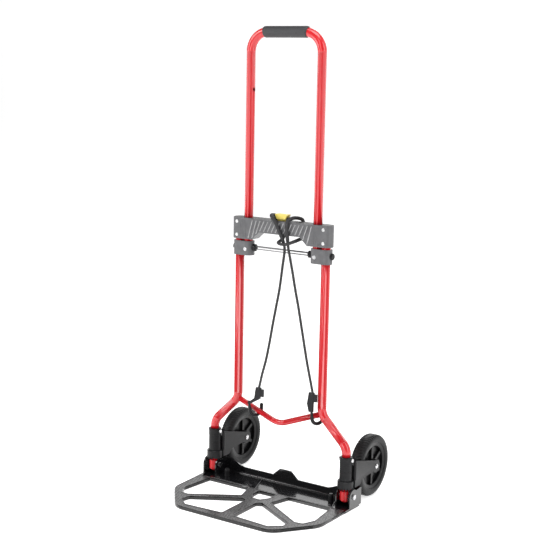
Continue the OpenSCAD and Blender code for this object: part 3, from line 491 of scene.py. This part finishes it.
def shrink(points, by):
    """A convex outline moved inward by the given length: each side shifts along its normal, and the corners
    are where neighbouring sides meet again."""
    p = np.asarray(points, float)
    e = np.roll(p, -1, 0) - p
    e /= np.linalg.norm(e, axis=1)[:, None]
    q = p + by * np.stack([-e[:, 1], e[:, 0]], -1)
    before_q, before_e = np.roll(q, 1, 0), np.roll(e, 1, 0)
    w = q - before_q
    t = (w[:, 0] * e[:, 1] - w[:, 1] * e[:, 0]) / (before_e[:, 0] * e[:, 1] - before_e[:, 1] * e[:, 0])
    return before_q + t[:, None] * before_e


def round_corners(points, radius, steps=6):
    """A counterclockwise convex outline with arcs of the given radius at its corners."""
    p = np.asarray(points, float)
    u = np.roll(p, 1, 0) - p
    v = np.roll(p, -1, 0) - p
    u /= np.linalg.norm(u, axis=1)[:, None]
    v /= np.linalg.norm(v, axis=1)[:, None]
    half = np.arccos(np.clip((u * v).sum(1), -1, 1)) / 2
    middle = (u + v) / np.linalg.norm(u + v, axis=1)[:, None]
    centre = p + middle * (radius / np.sin(half))[:, None]
    start = np.arctan2(u[:, 0], -u[:, 1])
    turn = start[:, None] + (np.pi - 2 * half)[:, None] * np.linspace(0, 1, steps + 1)
    arc = centre[:, None] + radius * np.stack([np.cos(turn), np.sin(turn)], -1)
    return arc.reshape(-1, 2)


def slab(name, outlines, z0, z1, edge=0.0):
    """A flat slab between heights z0 and z1 with holes: the first outline is its rim, the rest are its
    openings, all in millimetres. The edge is a rounded arris."""
    curve = bpy.data.curves.new(name, "CURVE")
    curve.dimensions = "2D"
    curve.fill_mode = "BOTH"
    curve.extrude = (z1 - z0) / 2 - edge
    curve.bevel_depth = edge
    curve.bevel_resolution = 1
    curve.offset = -edge
    for points in outlines:
        spline_data = curve.splines.new("POLY")
        spline_data.points.add(len(points) - 1)
        flat = np.column_stack([np.asarray(points) / 1000, np.zeros(len(points)), np.ones(len(points))])
        spline_data.points.foreach_set("co", flat.ravel())
        spline_data.use_cyclic_u = True
    holder = bpy.data.objects.new(name, curve)
    bpy.context.collection.objects.link(holder)
    bpy.context.view_layer.update()
    mesh = bpy.data.meshes.new_from_object(holder.evaluated_get(bpy.context.evaluated_depsgraph_get()))
    bpy.data.objects.remove(holder)
    bm = bmesh.new()
    bm.from_mesh(mesh)
    bmesh.ops.remove_doubles(bm, verts=bm.verts, dist=1e-6)
    bmesh.ops.recalc_face_normals(bm, faces=bm.faces)
    bmesh.ops.translate(bm, verts=bm.verts, vec=(0, 0, (z0 + z1) / 2))
    bm.to_mesh(mesh)
    bm.free()
    mesh.name = name
    piece = bpy.data.objects.new(name, mesh)
    bpy.context.collection.objects.link(piece)
    return piece


def spans(start, step, outer, inner):
    """Lengths of a line that lie inside an outline and outside its openings, found from where the line
    crosses each side."""
    start, step = np.asarray(start, float), np.asarray(step, float)
    crossings = []
    for points in [outer] + inner:
        a = np.asarray(points, float)
        b = np.roll(a, -1, 0)
        e = b - a
        k = step[0] * e[:, 1] - step[1] * e[:, 0]
        k[np.abs(k) < 1e-9] = 1e-9
        w = a - start
        t = (w[:, 0] * e[:, 1] - w[:, 1] * e[:, 0]) / k
        s = (w[:, 0] * step[1] - w[:, 1] * step[0]) / k
        crossings += [float(v) for v in t[(s >= 0) & (s < 1)]]
    crossings.sort()
    return [(crossings[i], crossings[i + 1]) for i in range(0, len(crossings) - 1, 2)]


def join(name, pieces):
    """One object from several."""
    bm = bmesh.new()
    for piece in pieces:
        bm.from_mesh(piece.data)
        bpy.data.objects.remove(piece)
    mesh = bpy.data.meshes.new(name)
    bm.to_mesh(mesh)
    bm.free()
    piece = bpy.data.objects.new(name, mesh)
    bpy.context.collection.objects.link(piece)
    return piece


def mirrored(points):
    """An outline on the other side, still counterclockwise."""
    return [(-x, y) for x, y in reversed(points)]


rim_radius, rim_wall_radius = 45, 42
openings = [(rear_hole, 5), (mirrored(rear_hole), 5), (front_hole, 4), (mirrored(front_hole), 4),
    (middle_hole, 4)]
rim_points = round_corners(outline, rim_radius)
opening_points = [round_corners(points, radius) for points, radius in openings]
front_outline = [(-195, -34.2), (-193, -132), (-124, -219), (124, -219), (193, -132), (195, -34.2)]
front_rim = round_corners(front_outline, rim_radius)[7:-7]
front_rim = np.vstack([[(-195.2, -34.2)], front_rim, [(195.2, -34.2)]])
wall = 2.6
sheet, wall_edge = 0.0022, 0.0003
parts = [slab("skin", [front_rim] + opening_points, skin_top - sheet, skin_top),
    slab("bed", [rim_points] + opening_points, bed_top - sheet, bed_top)]
inner_front = [(-192.4, -34.4), (-190.4, -131.2), (-122.8, -216.4), (122.8, -216.4), (190.4, -131.2),
    (192.4, -34.4)]
inner_rim = round_corners(inner_front, rim_wall_radius)[7:-7]
inner_rim = np.vstack([[(-192.4, -36.8)], inner_rim, [(192.4, -36.8)]])
parts.append(slab("rim wall", [front_rim, inner_rim], 0.0, plate_top, wall_edge))
back_outer = [(-197, 28.4), (-195.2, -34), (195.2, -34), (197, 28.4)]
back_inner = [(-194, 25.4), (-192.3, -31), (192.3, -31), (194, 25.4)]
parts.append(slab("bed wall", [back_outer, back_inner], 0.0, bed_top))
for k, (points, radius) in enumerate(openings):
    grown = round_corners(shrink(points, -wall), radius + wall)
    parts.append(slab("wall %d" % k, [grown, opening_points[k]], 0.0, plate_top, wall_edge))


def rungs(directions, origins, z0, z1, width, within=None):
    """Straight bars across the plate, cut off at its rim and openings."""
    made = []
    direction = np.array(directions, float)
    direction /= np.linalg.norm(direction)
    across = np.array([-direction[1], direction[0]]) * width / 2
    for origin in origins:
        for t0, t1 in spans(origin, direction, rim_points, opening_points):
            a = np.asarray(origin) + direction * (t0 + 1)
            b = np.asarray(origin) + direction * (t1 - 1)
            middle = (a + b) / 2
            if t1 - t0 > 3.5 and (within is None or within(middle)):
                corners = [a - across, b - across, b + across, a + across]
                made.append(slab("rung", [[tuple(corner) for corner in corners]], z0, z1))
    return made


under = [(x, 28) for x in range(-180, 181, 20)]
parts += rungs((0, -1), under, 0.0003, 0.0035, 2.0)
parts += rungs((0, -1), under, 0.003, skin_top - 0.001, 2.0, lambda p: p[1] < -40)


def in_ladder(p):
    """The bands that carry rungs: the front band, both outer bands, and the arms to the front corners."""
    x, y = abs(p[0]), p[1]
    return y < -196 or (x > 120 and y < -45) or (x < 40 and y < -60) or (30 < x < 140 and -170 < y < -80)


ladder_pitch, ladder_width = 6.5, 1.8
ladder_starts = [(x, 28.2) for x in np.arange(-268, 205, ladder_pitch)]
parts += rungs((0.35, -1), ladder_starts, skin_top - 0.0005, plate_top - 0.0002, ladder_width, in_ladder)
toe_moulding = join("toe_moulding", parts)
plate_look = material("plate moulding", (0.006, 0.006, 0.0065), 0.24, mottle=0.3, scale=140, bump=0.3,
    bump_scale=500, coat=0.4)
# The plate's up-facing faces are painted a lighter grey than its walls: painted light standing in for their
# reflection, with a real speckled grain.
grain_and_painted_top_tone(plate_look, (0.075, 0.075, 0.077), 0.36)
toe_moulding.data.materials.append(plate_look)
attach(toe_moulding, "toe")
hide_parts("toe_plate")

# ---------------------------------------------------------------- forks
# Each fork is one charcoal moulding: a barrel that turns on the tube and two plates that hold the wheel.
# A bevel gear ring at its foot meshes with the gear on the toe plate's ear and swings the fork.
fork_look = material("fork moulding", (0.010, 0.010, 0.011), 0.34, mottle=0.15, bump=0.2, specular=0.22)
for name in pair("fork"):
    soften(name, fork_look, 0.0007)
gear_look = material("gear moulding", (0.014, 0.014, 0.015), 0.32, mottle=0.15, bump=0.15, specular=0.22)
dress(gear_look, *pair("toe_gear"), *pair("fork_gear"))

# ---------------------------------------------------------------- wheels
# A black moulded rim with six spokes on a solid web, in a solid rubber tyre with slanting tread, turns on
# two white bushes round the axle bolt.
tyre_look = material("tyre rubber", (0.006, 0.006, 0.0065), 0.40, mottle=0.25, scale=120, bump=0.3,
    bump_scale=1200, specular=0.22)
rim_look = material("rim moulding", (0.006, 0.006, 0.0065), 0.30, mottle=0.15, bump=0.15, specular=0.22)
tyre_low, tyre_high = (np.array(corner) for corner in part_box("tyre_left"))
wheel_radius = (tyre_high[2] - tyre_low[2]) / 2
tyre_half = (tyre_high[0] - tyre_low[0]) / 2
wheel_middle = (tyre_low + tyre_high) / 2
inner_radius = wheel_radius - 0.018


def tyre(name, middle, body, node):
    """A tyre turned about the X axis. Its section runs from bead to bead over rounded shoulders. Across the
    tread the radius is cut by slanting grooves: depth where sin(blocks a +/- slant x) is low, faded at the
    shoulders, plus two rings round the tread's middle."""
    corner = np.array([(inner_radius, -0.012), (wheel_radius - 0.016, -tyre_half + 0.001),
        (wheel_radius - 0.009, -tyre_half), (wheel_radius - 0.003, -tyre_half + 0.002),
        (wheel_radius - 0.0006, -tyre_half + 0.0055), (wheel_radius, -0.006), (wheel_radius, 0.006),
        (wheel_radius - 0.0006, tyre_half - 0.0055), (wheel_radius - 0.003, tyre_half - 0.002),
        (wheel_radius - 0.009, tyre_half), (wheel_radius - 0.016, tyre_half - 0.001), (inner_radius, 0.012)])
    section = spline(corner, 6)
    radius, across = section[:, 0], section[:, 1]
    angle = np.linspace(0, 2 * np.pi, 360, endpoint=False)
    a, r = np.meshgrid(angle, radius, indexing="ij")
    x = np.broadcast_to(across, a.shape)
    tread = np.clip((r - (wheel_radius - 0.0045)) / 0.002, 0, 1)
    slant = np.sin(60 * a + np.sign(x) * 260 * x)
    groove = np.clip((slant - 0.45) / 0.3, 0, 1) * np.clip((np.abs(x) - 0.0035) / 0.001, 0, 1)
    ring = np.clip(1 - np.abs(np.abs(x) - 0.0028) / 0.0009, 0, 1)
    r = np.minimum(r, wheel_radius - 0.0001) - 0.0013 * tread * np.maximum(groove, ring)
    verts = np.stack([middle[0] + x, middle[1] + r * np.cos(a), middle[2] + r * np.sin(a)], -1)
    faces, corners = grid_faces(360, len(section), wrap_rows=True, wrap_cols=True)
    piece = mesh_object(name, verts, faces)
    bm = bmesh.new()
    bm.from_mesh(piece.data)
    bmesh.ops.recalc_face_normals(bm, faces=bm.faces)
    bm.to_mesh(piece.data)
    bm.free()
    piece.data.materials.append(tyre_look)
    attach(piece, body)
    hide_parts(node)


for side in ("left", "right"):
    place = wheel_middle * (1 if side == "left" else np.array([-1, 1, 1]))
    tyre("treaded_tyre_" + side, place, cad_bodies["tyre_" + side], "tyre_" + side)
    soften("rim_" + side, rim_look, 0.0006)
dress(zinc, *pair("axle_bolt"), *pair("axle_nut"))
dress(material("bush nylon", (0.75, 0.75, 0.73), 0.4, mottle=0.05), *pair("hub_bushes"))

# ---------------------------------------------------------------- cord hooks
# Black moulded hooks: a flat shank with a knotted eye head, and a bend that catches under the brace.
hook_look = material("hook moulding", (0.012, 0.012, 0.014), 0.30, mottle=0.2, bump=0.15, specular=0.22)
for name in pair("cord_hook"):
    soften(name, hook_look, 0.0006)

# ---------------------------------------------------------------- floor and light
# A pale seamless floor that turns up into a backdrop, two tall soft boxes to the sides and one above.
cove = np.linspace(0, np.pi / 2, 12)
profile = np.vstack([[(-7, 0)], np.stack([3.5 + 2 * np.sin(cove), 2 - 2 * np.cos(cove)], -1), [(5.5, 9)]])
width = np.array([-9, 9])
sheet = np.stack(np.broadcast_arrays(width[None, :], profile[:, :1], profile[:, 1:]), -1)
floor = mesh_object("floor", sheet, grid_faces(len(profile), 2)[0])
floor_look = material("floor paint", (0.90, 0.90, 0.90), 0.7, mottle=0.01, scale=3)
floor_shader = next(n for n in floor_look.node_tree.nodes if n.type == "BSDF_PRINCIPLED")
floor_shader.inputs["Emission Color"].default_value = (1, 1, 1, 1)
floor_shader.inputs["Emission Strength"].default_value = 0.62
floor_shader.inputs["Specular IOR Level"].default_value = 0.1
floor.data.materials.append(floor_look)
world = bpy.data.worlds.new("world")
world.use_nodes = True
world.node_tree.nodes["Background"].inputs["Color"].default_value = (1, 1, 1, 1)
world.node_tree.nodes["Background"].inputs["Strength"].default_value = 0.20
bpy.context.scene.world = world


def lamp(name, place, target, size, power):
    """A rectangular soft box at place that faces target."""
    light = bpy.data.objects.new(name, bpy.data.lights.new(name, "AREA"))
    light.data.shape = "RECTANGLE"
    light.data.size, light.data.size_y = size
    light.data.energy = power
    aim = (Vector(target) - Vector(place)).to_track_quat("-Z", "Y").to_matrix().to_4x4()
    light.matrix_world = Matrix.Translation(place) @ aim
    bpy.context.collection.objects.link(light)


lamp("left soft box", (-1.9, -1.6, 1.4), (0, 0, 0.5), (0.45, 2.4), 34)
lamp("right soft box", (2.3, -0.2, 1.3), (0, 0, 0.5), (0.5, 2.4), 26)
lamp("front strip", (0.15, -2.7, 1.1), (0, 0, 0.5), (0.22, 2.2), 16)
lamp("top soft box", (0.3, -0.6, 2.6), (0, 0, 0.2), (1.6, 1.2), 26)
lamp("back soft box", (-0.6, 2.6, 2.0), (0, 0, 0.5), (1.4, 1.4), 20)
bpy.context.scene.view_settings.view_transform = "Standard"
